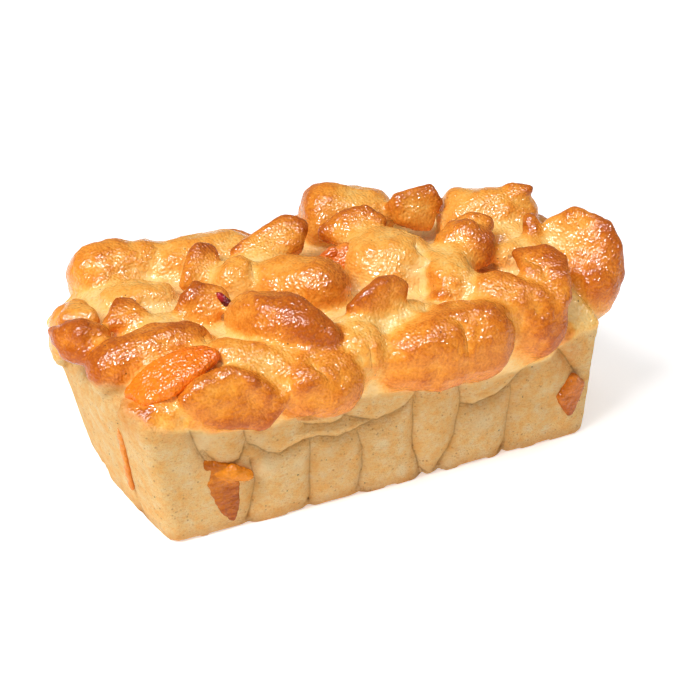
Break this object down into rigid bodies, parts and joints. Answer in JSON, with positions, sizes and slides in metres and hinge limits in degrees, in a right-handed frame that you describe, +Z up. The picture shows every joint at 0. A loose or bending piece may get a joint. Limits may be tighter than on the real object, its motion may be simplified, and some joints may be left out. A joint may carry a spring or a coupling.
{
  "type": "fruit bread loaf",
  "caption": "Tin-baked peach bread: pale creased sides, a glossy crust of overlapping golden dough pieces, peach set in its seams",
  "frame": {"origin": "centre of the flat base of the loaf", "axes": "+X along the loaf, +Y to its back, +Z up; the side with the peach chunk and the front crust rolls faces -Y"},
  "size_m": [0.2593, 0.1501, 0.1079],
  "materials": {
    "baked_crust": "egg-washed golden crust, glossy on top, over pale matt crumb sides",
    "peach_flesh": "wet glossy peach",
    "browned_peach": "baked, caramelised peach",
    "cherry": "dark baked cherry"
  },
  "bodies": {
    "root": {"loaf": "baked_crust", "peach_slice_top": "peach_flesh", "peach_chunk_front": "browned_peach", "peach_chunk_right": "browned_peach", "peach_strip_left": "browned_peach", "peach_piece_back": "peach_flesh", "cherry_bit": "cherry"}
  },
  "joints": []
}
